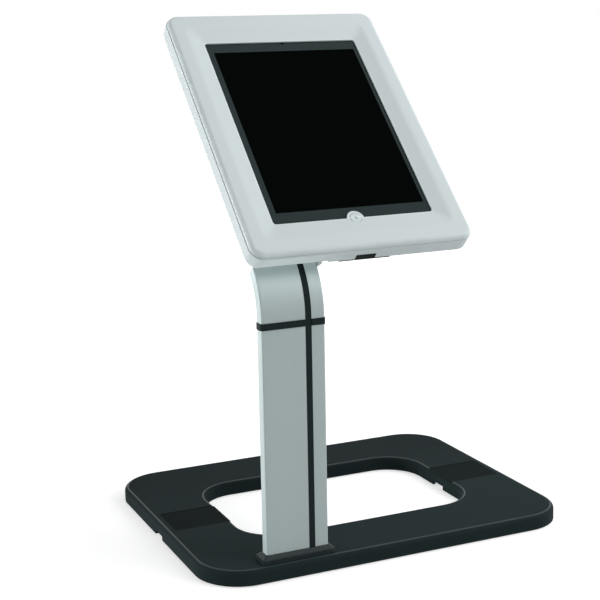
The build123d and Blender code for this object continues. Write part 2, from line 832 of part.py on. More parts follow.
# Front frame with window, sloped surround, hinge arms and lock hook
def make_front_frame():
    width = head_width - 2 * frame_inset
    length = head_length - 2 * frame_inset
    outer = rounded_prism(width, length, head_corner - frame_inset, seam_gap, frame_height)
    outer = fillet(outer.edges().group_by(Axis.Z)[-1], frame_edge_round)
    frame = outer - window_slope()
    crease = frame.faces().sort_by(Axis.Z)[-1].inner_wires().edges()
    frame = fillet(crease, crease_soften)
    pocket_top = frame_height - frame_wall
    pocket = rounded_prism(width - 2 * frame_side_wall, length - 2 * frame_side_wall,
                           head_corner - frame_inset - frame_side_wall, 0, pocket_top)
    frame -= pocket - slope_underside(pocket_top)
    frame -= rounded_prism(tablet_width + 2 * tablet_pocket_room, tablet_length + 2 * tablet_pocket_room,
                           tablet_corner, -past, window_lip_bottom)
    window = rounded_prism(window_width, window_length, window_corner, -past, frame_height, window_centre)
    rim_size = (window_width + 2 * lip_rim_width, window_length + 2 * lip_rim_width)
    rim = rounded_prism(*rim_size, window_corner, lip_rim_gap, window_lip_bottom + past / 2, window_centre)
    frame += rim - window
    frame += rod(*tab_centre, tab_bottom, tab_top, tab_radius)
    frame -= window - rod(*tab_centre, -2 * past, frame_height + past, tab_radius)
    frame -= rod(*tab_centre, -past, frame_height, button_radius + button_gap)
    frame -= rod(*tab_centre, -past, tab_bottom, button_radius + button_flange + button_gap)
    for side in (-1, 1):
        frame += door_arm(side * door_hinge_x)
    return in_head(frame + lock_hook())


def window_slope():
    """Space over the sloped surround, from the window's lip out to the crease and on above the frame."""
    rise = frame_height - window_lip_top
    run_on = 1 + past / rise
    size = (window_width + 2 * slope_side * run_on, window_length + 2 * slope_end * run_on)
    shift = [w + (c - w) * run_on for w, c in zip(window_centre, crease_centre)]
    return frustum((window_width, window_length), window_corner, (*window_centre, window_lip_top),
                   size, crease_corner, (*shift, frame_height + past))


def slope_underside(top):
    """Solid under the sloped surround that keeps its wall even."""
    low_size = (window_width + 2 * window_lip_width, window_length + 2 * window_lip_width)
    high_size = (crease_width - 2 * past, crease_length - 2 * past)
    core = frustum(low_size, window_corner, (*window_centre, window_lip_bottom),
                   high_size, crease_corner, (*crease_centre, top + press_gap))
    return core + rounded_prism(*low_size, window_corner, -past, window_lip_bottom + press_gap, window_centre)


def door_arm(x):
    """Arm that passes the top wall and ends in a knuckle behind it."""
    half = door_knuckle_width / 2
    arm_low = door_hinge_y + door_arm_offset
    arm = block(x - half, x + half, arm_low, arm_low + door_arm_thickness, door_hinge_z, seam_gap + past)
    knuckle = cross_rod(x - half, x + half, door_hinge_y, door_hinge_z, door_knuckle_radius)
    bore = cross_rod(x - half - past, x + half + past, door_hinge_y, door_hinge_z, door_pin_radius + pin_gap)
    return arm + knuckle - bore


def lock_hook():
    """Hook on the frame's underside, with a toe that the turned cam holds down."""
    toe_top = cam_top - cam_thickness - body_gap
    toe_bottom = toe_top - hook_toe
    leg_x = lock_x + hook_reach
    y0 = lock_y - hook_width / 2
    y1 = lock_y + hook_width / 2
    leg = block(leg_x, leg_x + hook_leg, y0, y1, toe_bottom, frame_height - frame_wall + past / 2)
    toe = block(lock_x + lock_radius + hook_toe_gap, leg_x + past / 2, y0, y1, toe_bottom, toe_top)
    return leg + toe


# Pins of the front frame's hinge
def make_frame_hinge_pin(x):
    half = door_knuckle_width / 2 + body_gap + door_lug_width
    pin = cross_rod(x - half, x + half, door_hinge_y, door_hinge_z, door_pin_radius)
    return chamfer(pin.edges(), door_pin_chamfer)


# Home button piece in the frame's tab
def make_home_button():
    flange_bottom = tab_bottom - running_gap - button_flange_thickness
    button = rod(*tab_centre, flange_bottom, tab_top + button_gap, button_radius)
    button = fillet(button.edges().group_by(Axis.Z)[-1], button_edge_round)
    button += rod(*tab_centre, flange_bottom, tab_bottom - running_gap, button_radius + button_flange)
    return in_head(button - rod(*tab_centre, tab_top - button_travel, tab_top + past, button_dimple_radius))


# Foam ring behind the window's lip
def make_window_gasket():
    inner_size = (window_width + 2 * gasket_inset, window_length + 2 * gasket_inset)
    outer_size = (inner_size[0] + 2 * gasket_side, inner_size[1] + 2 * gasket_end)
    inner = rounded_prism(*inner_size, window_corner, -past, window_lip_bottom + past, window_centre)
    outer = rounded_prism(*outer_size, window_corner + gasket_end, slip_gap, window_lip_bottom, window_centre)
    return in_head(outer - inner - rod(*tab_centre, -past, window_lip_bottom + past, tab_radius + past))


# Cam lock
def make_lock_body():
    body = rod(lock_x, lock_y, back_z, lock_end, lock_radius)
    flange = rod(lock_x, lock_y, back_z - lock_flange, back_z, lock_flange_radius)
    flange = fillet(flange.edges().group_by(Axis.Z)[0], lock_flange_round)
    bore = rod(lock_x, lock_y, back_z - lock_flange - past, lock_end + past, barrel_radius + running_gap)
    return in_head(body + flange - bore)


def make_lock_nut():
    hexagon = Pos(lock_x, lock_y, floor_z) * RegularPolygon(lock_nut_half, 6, major_radius=False)
    bore = rod(lock_x, lock_y, back_z, lock_end, lock_radius + running_gap)
    return in_head(extrude(hexagon, lock_nut_height) - bore)


def make_lock_barrel():
    low = back_z - lock_flange - barrel_proud
    barrel = rod(lock_x, lock_y, low, lock_end + body_gap, barrel_radius)
    barrel = chamfer(barrel.edges().group_by(Axis.Z)[0], barrel_proud)
    width, length, depth = key_slot
    slot = block(lock_x - width / 2, lock_x + width / 2, lock_y - length / 2, lock_y + length / 2,
                 low - past, low + depth)
    return in_head(barrel - slot)


def make_lock_cam():
    half = cam_width / 2
    cam_bottom = cam_top - cam_thickness
    cam = block(lock_x - half, lock_x + half, lock_y - cam_length, lock_y, cam_bottom, cam_top)
    cam += rod(lock_x, lock_y, cam_bottom, cam_top, half + cam_eye_margin)
    return in_head(cam - rod(lock_x, lock_y, cam_bottom - past, cam_top + past, m3_radius + running_gap))


def make_cam_screw():
    part = screw(lock_x, lock_y, cam_top, cam_thickness + body_gap, m3_radius, cam_screw_head, up=False)
    return in_head(part)


# Foam that holds the tablet
def make_back_pads():
    pad_top = -tablet_depth - slip_gap
    x = tablet_width / 2 - back_pad_inset[0]
    y = tablet_length / 2 - back_pad_inset[1]
    pads = [Pos(tablet_offset[0] + sx * x, tablet_offset[1] + sy * y, (floor_z + pad_top) / 2) *
            Box(*back_pad_size, pad_top - floor_z) for sx in (-1, 1) for sy in (-1, 1)]
    return in_head(group(pads))


def make_side_pads():
    inner_x = head_width / 2 - shell_wall
    inner_y = head_length / 2 - shell_wall
    left = tablet_offset[0] - tablet_width / 2 - slip_gap
    right = tablet_offset[0] + tablet_width / 2 + slip_gap
    low = tablet_offset[1] - tablet_length / 2 - slip_gap
    high = tablet_offset[1] + tablet_length / 2 + slip_gap
    heights = (floor_z, side_pad_top)
    half = side_pad_length / 2
    pads = [block(-inner_x, left, y - half, y + half, *heights) for y in (-side_pad_y, side_pad_y)]
    pads += [block(right, inner_x, y - half, y + half, *heights) for y in (-side_pad_y, side_pad_y)]
    half = end_pad_length / 2
    pads += [block(x - half, x + half, -inner_y, low, *heights) for x in low_pads_x]
    pads += [block(x - half, x + half, high, inner_y, *heights) for x in high_pads_x]
    return in_head(group(pads))


# Tablet
def tablet_prism(width, length, corner, z0, z1, shift=0.0):
    """Rounded plate on the tablet's centre, moved along its length if asked."""
    centre = (tablet_offset[0], tablet_offset[1] + shift)
    return rounded_prism(width, length, corner, z0, z1, centre)


def make_tablet_case():
    outer = tablet_prism(tablet_width, tablet_length, tablet_corner, -tablet_depth, -glass_thickness)
    outer = fillet(outer.edges().group_by(Axis.Z)[0], tablet_back_round)
    return in_head(outer - tablet_prism(*case_inside, tablet_corner - tablet_side_wall, case_floor, 0))


def make_tablet_glass():
    glass = tablet_prism(tablet_width, tablet_length, tablet_corner, -glass_thickness, 0)
    return in_head(chamfer(glass.edges().group_by(Axis.Z)[-1], glass_chamfer))


def make_tablet_display():
    bottom = -glass_thickness - display_thickness
    return in_head(tablet_prism(display_width, display_length, display_corner, bottom, -glass_thickness))


def make_tablet_battery():
    width = (case_inside[0] - 2 * cell_side_room - cell_gap) / 2
    high_room = board_top_room + board_length + cell_gap
    length = case_inside[1] - cell_low_room - high_room
    shift = (cell_low_room - high_room) / 2
    step = Pos((width + cell_gap) / 2, 0, 0)
    cell = tablet_prism(width, length, cell_corner, case_floor, case_floor + cell_thickness, shift)
    return in_head(group([step * cell, step.inverse() * cell]))


def make_tablet_board():
    shift = case_inside[1] / 2 - board_top_room - board_length / 2
    width = case_inside[0] - 2 * board_side_room
    board_face = case_floor + board_thickness
    return in_head(tablet_prism(width, board_length, cell_corner, case_floor, board_face, shift))


save(make_base_cover(), "base_cover", black)
save(make_ballast_plate(), "ballast_plate", steel)
save(group(make_base_screw(x, y) for x, y in base_screw_spots), "base_screws", steel)
save(group(make_rubber_foot(x, y) for x, y in foot_spots), "rubber_feet", dark)
save(make_arm_pad(-1), "arm_pad_left", dark)
save(make_arm_pad(1), "arm_pad_right", dark)
save(make_foot_collar(), "foot_collar", black)
save(make_foot_block(inside_left, cable_left, left_bolts_x), "foot_block_left", steel)
save(make_foot_block(cable_right, inside_right, (right_bolt_x,)), "foot_block_right", steel)
save(group(make_column_bolt(x, y) for x, y in column_bolt_spots), "column_bolts", steel)
save(group(back_screw(x, z) for x, z in foot_screw_spots), "foot_screws", steel)
save(make_column(), "column", silver)
save(make_joint_collar(), "joint_collar", black)
save(make_joiner_bar(inside_left, cable_left), "joiner_bar_left", steel)
save(make_joiner_bar(cable_right, inside_right), "joiner_bar_right", steel)
save(make_joiner_screws(), "joiner_screws", steel)
save(make_neck(), "neck", silver)
save(make_lower_strip(), "channel_strip_lower", dark)
save(make_upper_strip(), "channel_strip_upper", dark)
save(make_hinge_block((inside_left, cable_left), (knuckle_left, cable_left), -1), "hinge_block_left", steel)
right_hinge_block = make_hinge_block((cable_right, inside_right), (cable_right, knuckle_right), 1)
save(right_hinge_block, "hinge_block_right", steel)
save(group([make_hinge_bush(knuckle_left, -1), make_hinge_bush(knuckle_right, 1)]), "hinge_bushes", brass)
save(make_hinge_pin(), "hinge_pin", steel)
save(make_friction_washer(), "friction_washer", dark)
save(make_spring_washer(), "spring_washer", steel)
save(make_hinge_nut(), "hinge_nut", steel)
save(make_tilt_bracket(), "tilt_bracket", pale)
save(in_head(group(make_bracket_screw(x, y) for x, y in bracket_screw_spots)), "bracket_screws", steel)
save(in_head(group(make_bracket_nut(x, y) for x, y in bracket_screw_spots)), "bracket_nuts", steel)
save(make_rear_shell(), "rear_shell", pale)
save(make_port_cover(), "port_cover", dark)
save(make_front_frame(), "front_frame", pale)
save(in_head(group(make_frame_hinge_pin(side * door_hinge_x) for side in (-1, 1))), "frame_hinge_pins", steel)
save(make_home_button(), "home_button", pale)
save(make_window_gasket(), "window_gasket", dark)
save(make_lock_body(), "lock_body", steel)
save(make_lock_nut(), "lock_nut", steel)
save(make_lock_barrel(), "lock_barrel", steel)
save(make_lock_cam(), "lock_cam", steel)
save(make_cam_screw(), "cam_screw", steel)
save(make_back_pads(), "back_pads", dark)
save(make_side_pads(), "side_pads", dark)
save(make_tablet_case(), "tablet_case", steel)
save(make_tablet_glass(), "tablet_glass", dark)
save(make_tablet_display(), "tablet_display", dark)
save(make_tablet_battery(), "tablet_battery", dark)
save(make_tablet_board(), "tablet_board", brass)

print("tilt hinge at y", round(hinge_y, 3), "z", round(hinge_z, 3), "between", ear_left, ear_right)
print("enclosure", head_width, "by", head_length, "centred at", [round(v, 3) for v in head_centre])
print("frame hinge at", door_hinge_y, door_hinge_z, "lock at", lock_x, lock_y, "button at", tab_centre)
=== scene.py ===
# %% [markdown]
# # A counter-top tablet stand
# The stand has a black ring base, a flat aluminium column with a black cable strip, a neck that bends back, and
# a pale plastic enclosure that frames a tablet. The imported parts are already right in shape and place, so this
# lesson gives them their finishes, sets up a photo studio round them, and shows how each finish is worked out.
# All lengths are in metres, in the same frame as the parts.

import json
import math

import bpy
import numpy as np
from mathutils import Matrix, Vector

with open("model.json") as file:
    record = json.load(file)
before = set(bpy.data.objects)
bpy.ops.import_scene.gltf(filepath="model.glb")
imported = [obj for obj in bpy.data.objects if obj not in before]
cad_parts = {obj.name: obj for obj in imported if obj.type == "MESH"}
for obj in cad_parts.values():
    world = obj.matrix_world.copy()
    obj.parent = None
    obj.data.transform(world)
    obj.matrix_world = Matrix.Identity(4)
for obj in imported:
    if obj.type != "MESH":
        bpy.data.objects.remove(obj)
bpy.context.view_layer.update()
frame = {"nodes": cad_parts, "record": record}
print("parts:", len(frame["nodes"]))

# %% [markdown]
# ## The camera
# A camera matches a photograph when its place, its direction and its lens all agree with it. They could be found
# by trial, but a tilt and a shift look much alike, so here they were worked out from the corners of the base and
# of the screen, whose real sizes are known. The direction is kept as three angles: yaw turns the camera from the
# stand's straight-on view, pitch looks down, and roll is the small lean of the hand.

# %% Place the camera
camera_place = Vector((-0.5675, -1.2018, 0.4977))
yaw, pitch, roll = math.radians(23.95), math.radians(11.82), math.radians(1.10)
lens_mm, sensor_mm = 81.14, 36

forward = Vector((math.sin(yaw) * math.cos(pitch), math.cos(yaw) * math.cos(pitch), -math.sin(pitch)))
level = Vector((math.cos(yaw), -math.sin(yaw), 0))
down = forward.cross(level)
image_right = math.cos(roll) * level + math.sin(roll) * down
image_up = math.sin(roll) * level - math.cos(roll) * down
turned = Matrix((image_right, image_up, -forward)).transposed().to_4x4()

camera = bpy.data.objects.new("camera", bpy.data.cameras.new("camera"))
camera.data.lens = lens_mm
camera.data.sensor_width = sensor_mm
camera.matrix_world = Matrix.Translation(camera_place) @ turned
bpy.context.scene.collection.objects.link(camera)
bpy.context.scene.camera = camera
print("camera looks along", [round(v, 3) for v in forward])

# %% [markdown]
# ## Shader sums as Python expressions
# A finish is a small calculation that is done at every point of a surface: noise times a strength plus a base
# value, and so on. Wiring each step by hand is slow to write and hard to read, so one class holds an output of a
# node and turns `a * b + c` into Math nodes. Colours and vectors must not pass through a Math node, which keeps
# one number only, so they go through Mix and Vector Math with the method that makes any node.

# %% One class for all the wiring
class Wire:
    """One output of a shader node. Sums of wires and numbers add the Math nodes that they need."""

    def __init__(self, tree, socket=None):
        self.tree = tree
        self.socket = socket

    def node(self, kind, settings=None, inputs=None, output=0):
        """Adds a node of any kind: first its settings, then the values or wires of its inputs."""
        made = self.tree.nodes.new(kind)
        for name, value in (settings or {}).items():
            setattr(made, name, value)
        for name, value in (inputs or {}).items():
            if isinstance(value, Wire):
                self.tree.links.new(value.socket, made.inputs[name])
            else:
                made.inputs[name].default_value = value
        return Wire(self.tree, made.outputs[output])

    def math(self, operation, a, b=0.0):
        return self.node("ShaderNodeMath", {"operation": operation}, {0: a, 1: b})

    def __add__(self, other):
        return self.math("ADD", self, other)

    __radd__ = __add__

    def __sub__(self, other):
        return self.math("SUBTRACT", self, other)

    def __rsub__(self, other):
        return self.math("SUBTRACT", other, self)

    def __mul__(self, other):
        return self.math("MULTIPLY", self, other)

    __rmul__ = __mul__

    def __abs__(self):
        return self.math("ABSOLUTE", self)

    def root(self):
        return self.math("SQRT", self)

    def least(self, other):
        return self.math("MINIMUM", self, other)

    def most(self, other):
        return self.math("MAXIMUM", self, other)

    def step(self, low, high):
        """0 below low, 1 above high, and a smooth rise between them."""
        return self.node("ShaderNodeMapRange", {"interpolation_type": "SMOOTHSTEP"},
                         {"Value": self, "From Min": low, "From Max": high})

    def along(self, direction, start=0.0):
        """How far this vector reaches along a direction, less a start value."""
        inputs = {0: self, 1: direction}
        return self.node("ShaderNodeVectorMath", {"operation": "DOT_PRODUCT"}, inputs, "Value") - start

    def noise(self, scale, detail=2.0, stretch=(1, 1, 1)):
        """Cloudy noise from 0 to 1 with its mean at a half. The scale is about how many clouds lie in a metre,
        and a stretch below 1 draws them out on that axis."""
        vector = self.node("ShaderNodeVectorMath", {"operation": "MULTIPLY"}, {0: self, 1: stretch})
        return self.node("ShaderNodeTexNoise", {}, {"Vector": vector, "Scale": scale, "Detail": detail}, "Fac")

    def blend(self, colour_a, colour_b):
        """Colour a where this wire is 0 and colour b where it is 1."""
        inputs = {"Factor": self, 6: colour_a, 7: colour_b}
        return self.node("ShaderNodeMix", {"data_type": "RGBA"}, inputs, 2)


print("sums ready")

# %% [markdown]
# ## How a finish starts
# Each finish is a Principled shader. What is the same all over the surface is set on the shader's own socket.
# What varies is wired to colour, roughness or bump, and reads Object coordinates, so that the pattern stays on
# the piece when it moves. A real surface is never one flat tone, so nearly every colour here is a pair of near
# tones of one colour, with a noise between them.

# %% Start a material and put it on parts
def start_material(name, **constants):
    """New material with its fixed values set. Gives the material, its shader and its Object coordinates."""
    material = bpy.data.materials.new(name)
    material.use_nodes = True
    shader = material.node_tree.nodes["Principled BSDF"]
    for socket, value in constants.items():
        shader.inputs[socket.replace("_", " ")].default_value = value
    place = Wire(material.node_tree).node("ShaderNodeTexCoord", output="Object")
    return material, shader, place


def feed(shader, socket, wire):
    """Connects a wire to one socket of the shader."""
    wire.tree.links.new(wire.socket, shader.inputs[socket])


def bump(shader, height, depth, strength):
    """Bends the surface's normal by a height from 0 to 1, which stands for this depth in metres."""
    inputs = {"Height": height, "Distance": depth, "Strength": strength}
    feed(shader, "Normal", height.node("ShaderNodeBump", {}, inputs, "Normal"))


def put_on(material, *names):
    """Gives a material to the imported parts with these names."""
    for name in names:
        part = frame["nodes"][name]
        for part_slot in part.material_slots:
            part_slot.material = material
        if not part.material_slots:
            part.data.materials.append(material)


def shade(colour, factor):
    """The same colour, lighter or darker by a factor, as a shader wants it."""
    return tuple(c * factor for c in colour) + (1.0,)


def vary(mask, colour, factor_a, factor_b):
    """The colour times the first factor where the mask is 0, and times the second where it is 1."""
    return mask.blend(shade(colour, factor_a), shade(colour, factor_b))


print("helpers ready")

# %% [markdown]
# ## The studio
# The photograph was taken in a white studio: the background is white to the edge, and the light comes from all
# sides, with more from the right and from low on the left. A white sky gives the even part. It shows as plain
# white to the camera and in reflections, and lights the surfaces much less, so that pale plastic doesn't wash
# out. A stronger sky would fill every shadow and flatten the shapes. Seven soft lamps, all turned to the middle
# of the enclosure, give each face its own grey.

# %% White sky
white, black = (1, 1, 1, 1), (0, 0, 0, 1)
sky_light = 0.3

world = bpy.data.worlds.new("studio")
world.use_nodes = True
bpy.context.scene.world = world
bpy.context.scene.view_settings.view_transform = "Standard"


def seen_rays(tree):
    """1 for what the camera sees straight, mirrored or through glass, and 0 for light on a surface."""
    wire = Wire(tree)
    straight, mirrored, through = [wire.node("ShaderNodeLightPath", output=f"Is {ray} Ray")
                                   for ray in ("Camera", "Glossy", "Transmission")]
    return straight.most(mirrored).most(through)


background = world.node_tree.nodes["Background"]
background.inputs["Color"].default_value = white
feed(background, "Strength", seen_rays(world.node_tree) * (1 - sky_light) + sky_light)
print("sky lights surfaces at", sky_light)

# %% Soft lamps
head_middle = Vector((-0.035, -0.05, 0.40))

# Each lamp's place, the width of its square and its power in watts.
lamps = {
    "near_left": ((-0.60, -0.75, 0.08), 0.5, 1.1),
    "front_right": ((1.6, -1.7, 1.6), 1.2, 23.1),
    "top": ((0.2, -0.2, 2.4), 1.4, 5.0),
    "back_left": ((-1.8, 1.4, 0.9), 1.2, 4.9),
    "right": ((2.2, -0.2, 0.9), 1.2, 13.35),
    "top_right": ((1.0, -0.4, 2.2), 1.2, 12.4),
    "low_left": ((-2.0, 1.0, 0.25), 1.0, 38.0),
}


def soft_lamp(name, place, width, power):
    """Square lamp at a place, turned to face the middle of the enclosure."""
    lamp = bpy.data.objects.new(name, bpy.data.lights.new(name, "AREA"))
    lamp.data.size = width
    lamp.data.energy = power
    lamp.location = place
    lamp.rotation_euler = (head_middle - Vector(place)).to_track_quat("-Z", "Y").to_euler()
    bpy.context.scene.collection.objects.link(lamp)


for lamp_name, lamp_facts in lamps.items():
    soft_lamp("lamp_" + lamp_name, *lamp_facts)
print("lamps:", len(lamps))

# %% [markdown]
# ## The floor
# The floor only has to be white and to hold the stand's soft shadow. It is a flat disc, worked out as one ring of
# points. More light on it would also lighten the stand from below, so it has a little glow of its own instead,
# which shows but lights nothing. The glow grows with the distance from the stand, where the lamps reach less,
# and the shadow under the base still shows.

# %% Floor
floor_radius, rim_points = 9.0, 96
near_glow, far_glow = 0.52, 0.84
glow_from, glow_to = 0.30, 1.30
floor_tones = (0.71, 0.71, 0.71, 1), (0.73, 0.73, 0.73, 1)

turn = np.linspace(0, 2 * np.pi, rim_points, endpoint=False)
rim = np.stack([floor_radius * np.cos(turn), floor_radius * np.sin(turn), np.zeros(rim_points)], 1)
floor_mesh = bpy.data.meshes.new("floor")
floor_mesh.from_pydata(rim.tolist(), [], [list(range(rim_points))])
floor = bpy.data.objects.new("floor", floor_mesh)
bpy.context.scene.collection.objects.link(floor)

floor_white, shader, place = start_material("studio_floor", Roughness=0.9, Specular_IOR_Level=0.0,
                                            Emission_Strength=1.0)
feed(shader, "Base Color", place.noise(3.0).blend(*floor_tones))
distance = place.node("ShaderNodeVectorMath", {"operation": "LENGTH"}, {0: place}, "Value")
glow = distance.step(glow_from, glow_to) * (far_glow - near_glow) + near_glow
feed(shader, "Emission Color", (seen_rays(floor_white.node_tree) * glow).blend(black, white))
floor_mesh.materials.append(floor_white)
print("floor radius", floor_radius)

# %% [markdown]
# ## Distance from an outline
# Edges are where a finish changes: they are rubbed smooth, they catch the light, and a screen has a dark border
# inside its outline. Painting such lines by hand would tie them to one size. All the outlines here are rounded
# rectangles, so one sum gives the distance from such an outline: negative inside, 0 on the line and positive
# outside. An outline is kept as its width, its length and the radius of its corners.

# %% Rounded rectangle as a sum
def outline_distance(x, y, width, length, corner):
    """Distance from a rounded rectangle round the origin: how far |x| and |y| pass the inner rectangle, less the
    corner radius."""
    past_x = abs(x) - (width / 2 - corner)
    past_y = abs(y) - (length / 2 - corner)
    out_x, out_y = past_x.most(0.0), past_y.most(0.0)
    outside = (out_x * out_x + out_y * out_y).root()
    return outside + past_x.most(past_y).least(0.0) - corner


print("outline sum ready")

# %% [markdown]
# ## The enclosure's own directions
# The enclosure leans back, so a line on its face isn't level with any axis of the stand. Its finishes are worked
# out in its own three directions instead, measured from its centre on the seam between its two halves.

# %% Right, up and out of the enclosure's face
head_tilt = math.radians(46.2)
head_centre = Vector((-0.0357, -0.046853, 0.397237))
head_right = Vector((1, 0, 0))
head_up = Vector((0, math.sin(head_tilt), math.cos(head_tilt)))
head_out = Vector((0, -math.cos(head_tilt), math.sin(head_tilt)))


def in_head(place, *directions):
    """How far a point lies from the enclosure's centre along each of these directions."""
    return [place.along(tuple(d), head_centre.dot(d)) for d in directions]


print("enclosure leans back", round(90 - math.degrees(head_tilt), 1), "degrees")

# %% [markdown]
# ## Black moulded plastic
# The base cover and the collar round the column's foot are moulded with a fine grain. The grain is far smaller
# than a pixel of the photograph, so it shows as a soft, even satin, and only a close look resolves it. Two noises
# make it: a fine one for the grain and a slow one for the slight cloudiness that moulded black always has. Along
# the rims, where hands and cloths rub, the grain is polished smoother with a faint coat, and a thin line there is
# painted lighter: a painted highlight. The cover's tone is painted darker towards its back, a painted shade. The
# collar is smoother and catches more light.

# %% Base cover
moulded_grain = 2600
base_black = (0.0148, 0.0242, 0.0252)
base_outline = (0.380, 0.300, 0.045)
opening_outline = (0.248, 0.160, 0.040)
outer_rim, inner_rim, rim_half = -0.0032, 0.0022, 0.0014
back_shade_from, back_shade_to = -0.04, 0.13

black_plastic, shader, place = start_material("black_plastic", Specular_IOR_Level=0.02, Coat_Roughness=0.3)
grain = place.noise(moulded_grain, 3)
cloud = place.noise(14, 3)
x, y = place.along((1, 0, 0)), place.along((0, 1, 0))
from_outer = abs(outline_distance(x, y, *base_outline) - outer_rim)
from_inner = abs(outline_distance(x, y, *opening_outline) - inner_rim)
# Painted highlight: a thin line along both rims is made lighter, on top of the real smoother, coated rim.
rubbed_rim_and_highlight = (1 - from_outer.least(from_inner).step(0.0, rim_half)) * (place.noise(60, 3) * 0.5 + 0.5)
# Painted shade: the tone is made darker towards the back of the base.
tone = y.step(back_shade_from, back_shade_to).blend(vary(cloud, base_black, 0.9, 1.12), shade(base_black, 0.66))
feed(shader, "Base Color", (rubbed_rim_and_highlight * 0.5).blend(tone, shade(base_black, 1.8)))
feed(shader, "Roughness", 0.56 + cloud * 0.08 - rubbed_rim_and_highlight * 0.12 + grain * 0.04)
feed(shader, "Coat Weight", rubbed_rim_and_highlight * 0.8)
bump(shader, grain, 0.00006, 0.5)
put_on(black_plastic, "base_cover")
print("base cover outline", base_outline)

# %% Foot collar
collar_plastic, shader, place = start_material("collar_plastic", Specular_IOR_Level=0.16)
grain = place.noise(moulded_grain, 3)
feed(shader, "Base Color", vary(place.noise(60, 3), base_black, 0.85, 1.15))
feed(shader, "Roughness", 0.36 + grain * 0.08)
bump(shader, grain, 0.00004, 0.4)
put_on(collar_plastic, "foot_collar")
print("foot collar done")

# %% [markdown]
# ## Matt inlays, the cable strip and the band
# The inlays on the arms are a flat matt sheet, a touch darker than the cover, with a finer grain. The strip that
# closes the cable channel is an extruded cap, so its marks run along it and hardly across it, and the noise is
# drawn out along the strip for that. The band round the joint of column and neck is of the same dark plastic.

# %% Inlays
inlay_black = (0.0125, 0.0178, 0.0168)
inlay, shader, place = start_material("inlay_plastic", Specular_IOR_Level=0.01)
speck = place.noise(4200, 2)
feed(shader, "Base Color", vary(place.noise(30, 3), inlay_black, 0.88, 1.12))
feed(shader, "Roughness", 0.72 + speck * 0.1)
bump(shader, speck, 0.00005, 0.5)
put_on(inlay, "arm_pad_left", "arm_pad_right")
print("inlays done")

# %% Strips and band
strip_black = (0.0098, 0.0170, 0.0176)
strip, shader, place = start_material("strip_plastic", Specular_IOR_Level=0.06)
marks = place.noise(3000, 2, (1, 0.02, 0.02))
feed(shader, "Base Color", vary(marks, strip_black, 0.85, 1.2))
feed(shader, "Roughness", 0.42 + marks * 0.14)
bump(shader, marks, 0.00003, 0.4)
put_on(strip, "channel_strip_lower", "channel_strip_upper", "joint_collar")
print("strips and band done")

# %% [markdown]
# ## Satin anodised aluminium
# The column is an extrusion. The die leaves very fine lines along its length, and the anodising turns the metal
# into a soft satin grey. A fully metallic shader would mirror the dark base, and the real satin hardly does, so
# the metal is mostly a grey with a gloss. The neck is the same extrusion, bent, so the lines follow the bend.
# They run across x on both pieces, so a noise that changes fast along x and slowly along the other two axes fits
# both. The neck's tone is painted lighter towards its end, a painted light where the enclosure shades it, and the
# narrow sides are painted lighter too, a painted highlight.

# %% Column and neck
silver = (0.36, 0.425, 0.425)
column_middle, column_half = -0.1026, 0.0307
neck_light_from, neck_light_to = 0.238, 0.290
side_from, side_to = column_half - 0.0010, column_half - 0.0002

aluminium, shader, place = start_material("column_aluminium", Metallic=0.12, Specular_IOR_Level=0.5)
lines = place.noise(2400, 3, (1, 0.012, 0.012))
broad = place.noise(160, 2, (1, 0.03, 0.03))
cloud = place.noise(9, 2)
streaks = lines * 0.6 + broad * 0.4
# Painted light: the neck is made lighter towards its end.
neck_painted_light = place.along((0, 0, 1)).step(neck_light_from, neck_light_to)
# Painted highlight: the narrow sides are made lighter.
side_painted_highlight = abs(place.along((1, 0, 0), column_middle)).step(side_from, side_to)
drawn = vary(streaks, silver, 0.955, 1.045)
painted_light_silver = vary(streaks, silver, 1.60, 1.72)
feed(shader, "Base Color", neck_painted_light.most(side_painted_highlight * 0.6).blend(drawn, painted_light_silver))
feed(shader, "Roughness", 0.40 + lines * 0.10 + cloud * 0.05)
bump(shader, lines, 0.00003, 0.35)
put_on(aluminium, "column", "neck")
print("column", 2 * column_half, "wide")

# %% [markdown]
# ## Pale enclosure plastic
# The enclosure is sprayed in a silver grey over moulded plastic. Spray leaves a soft unevenness, called orange
# peel, of about a millimetre, and tiny flakes that make the grey alive. A slow noise adds the slight change of
# tone across a large panel. The edge of the window and the outer rim are a little smoother, because fingers reach
# there, and a fine line on the window's sharp lip is painted lighter: a painted highlight. The bottom wall is
# painted lighter to the left, a painted light. The bracket behind is steel with a thicker powder coat, which is
# rougher and a touch darker.

# %% Enclosure paint
pale = (0.585, 0.655, 0.665)
enclosure_outline = (0.2194, 0.2930, 0.013)
window_outline = (0.1585, 0.2216, 0.003)
window_x, window_y = 0.0006, -0.0006
rim_inset, handled_half = 0.002, 0.003
lip_from, lip_to = 0.0003, 0.0010
wall_from, wall_to, wall_left, wall_back = 0.1400, 0.1450, 0.075, 0.003

enclosure, shader, place = start_material("enclosure_plastic", Specular_IOR_Level=0.32)
hx, hy, hz = in_head(place, head_right, head_up, head_out)
peel = place.noise(900, 2)
flake = place.noise(5200, 1)
cloud = place.noise(11, 2)
rim_line = abs(outline_distance(hx, hy, *enclosure_outline) + rim_inset)
lip_line = abs(outline_distance(hx - window_x, hy - window_y, *window_outline))
handled = (1 - rim_line.least(lip_line).step(0.0, handled_half)) * place.noise(45, 3).step(0.35, 0.7)
# Painted highlight: a fine line on the window's lip is made lighter.
lip_painted_highlight = 1 - lip_line.step(lip_from, lip_to)
low, left, behind = hy * -1, hx * -1, hz * -1
